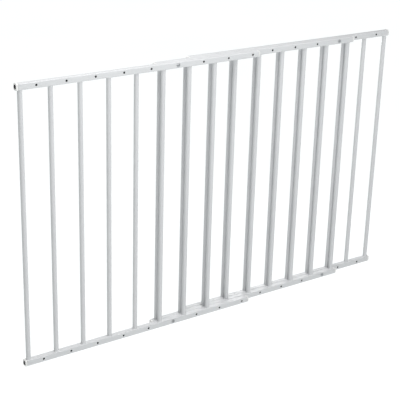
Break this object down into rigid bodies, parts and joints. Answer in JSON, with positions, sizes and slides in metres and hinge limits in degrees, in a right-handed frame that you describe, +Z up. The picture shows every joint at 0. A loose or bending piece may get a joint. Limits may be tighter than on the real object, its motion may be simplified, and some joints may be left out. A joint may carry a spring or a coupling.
{
  "type": "pet gate",
  "caption": "Telescoping white steel barrier for a doorway, made of upright round bars between square rails that slide past each other and lock with screws.",
  "frame": {"origin": "midway along the gate and midway through its depth, level with the underside of the lower end sockets", "axes": "+X along the gate towards the right-hand panel, +Y from the front panel to the back one, +Z up the bars"},
  "size_m": [1.1476, 0.0491, 0.6996],
  "materials": {
    "rail": "satin white powder coat on square steel tube",
    "bar": "satin white powder coat on round steel tube",
    "end_socket": "moulded white plastic",
    "end_plug": "moulded white plastic",
    "screw": "zinc plated steel"
  },
  "bodies": {
    "left_panel": {"left_panel_top_rail": "rail", "left_panel_top_end_socket": "end_socket", "left_panel_top_right_plug": "end_plug", "left_panel_top_screw": "screw", "left_panel_bottom_rail": "rail", "left_panel_bottom_end_socket": "end_socket", "left_panel_bottom_right_plug": "end_plug", "left_panel_bottom_screw": "screw", "left_panel_bar_1": "bar", "left_panel_bar_2": "bar", "left_panel_bar_3": "bar", "left_panel_bar_4": "bar", "left_panel_bar_5": "bar", "left_panel_bar_6": "bar", "left_panel_bar_7": "bar", "left_panel_bar_8": "bar"},
    "middle_panel": {"middle_panel_top_rail": "rail", "middle_panel_top_left_plug": "end_plug", "middle_panel_top_right_plug": "end_plug", "middle_panel_top_screw": "screw", "middle_panel_bottom_rail": "rail", "middle_panel_bottom_left_plug": "end_plug", "middle_panel_bottom_right_plug": "end_plug", "middle_panel_bottom_screw": "screw", "middle_panel_bar_1": "bar", "middle_panel_bar_2": "bar", "middle_panel_bar_3": "bar", "middle_panel_bar_4": "bar", "middle_panel_bar_5": "bar", "middle_panel_bar_6": "bar", "middle_panel_bar_7": "bar", "middle_panel_bar_8": "bar", "middle_panel_bar_9": "bar"},
    "right_panel": {"right_panel_top_rail": "rail", "right_panel_top_left_plug": "end_plug", "right_panel_top_end_socket": "end_socket", "right_panel_bottom_rail": "rail", "right_panel_bottom_left_plug": "end_plug", "right_panel_bottom_end_socket": "end_socket", "right_panel_bar_1": "bar", "right_panel_bar_2": "bar", "right_panel_bar_3": "bar", "right_panel_bar_4": "bar", "right_panel_bar_5": "bar", "right_panel_bar_6": "bar", "right_panel_bar_7": "bar", "right_panel_bar_8": "bar"}
  },
  "joints": [
    {"name": "middle_panel_slide", "type": "slide", "parent": "left_panel", "child": "middle_panel", "axis": [1, 0, 0], "range_m": [-0.225, 0.15]},
    {"name": "right_panel_slide", "type": "slide", "parent": "middle_panel", "child": "right_panel", "axis": [1, 0, 0], "range_m": [-0.225, 0.375]}
  ]
}
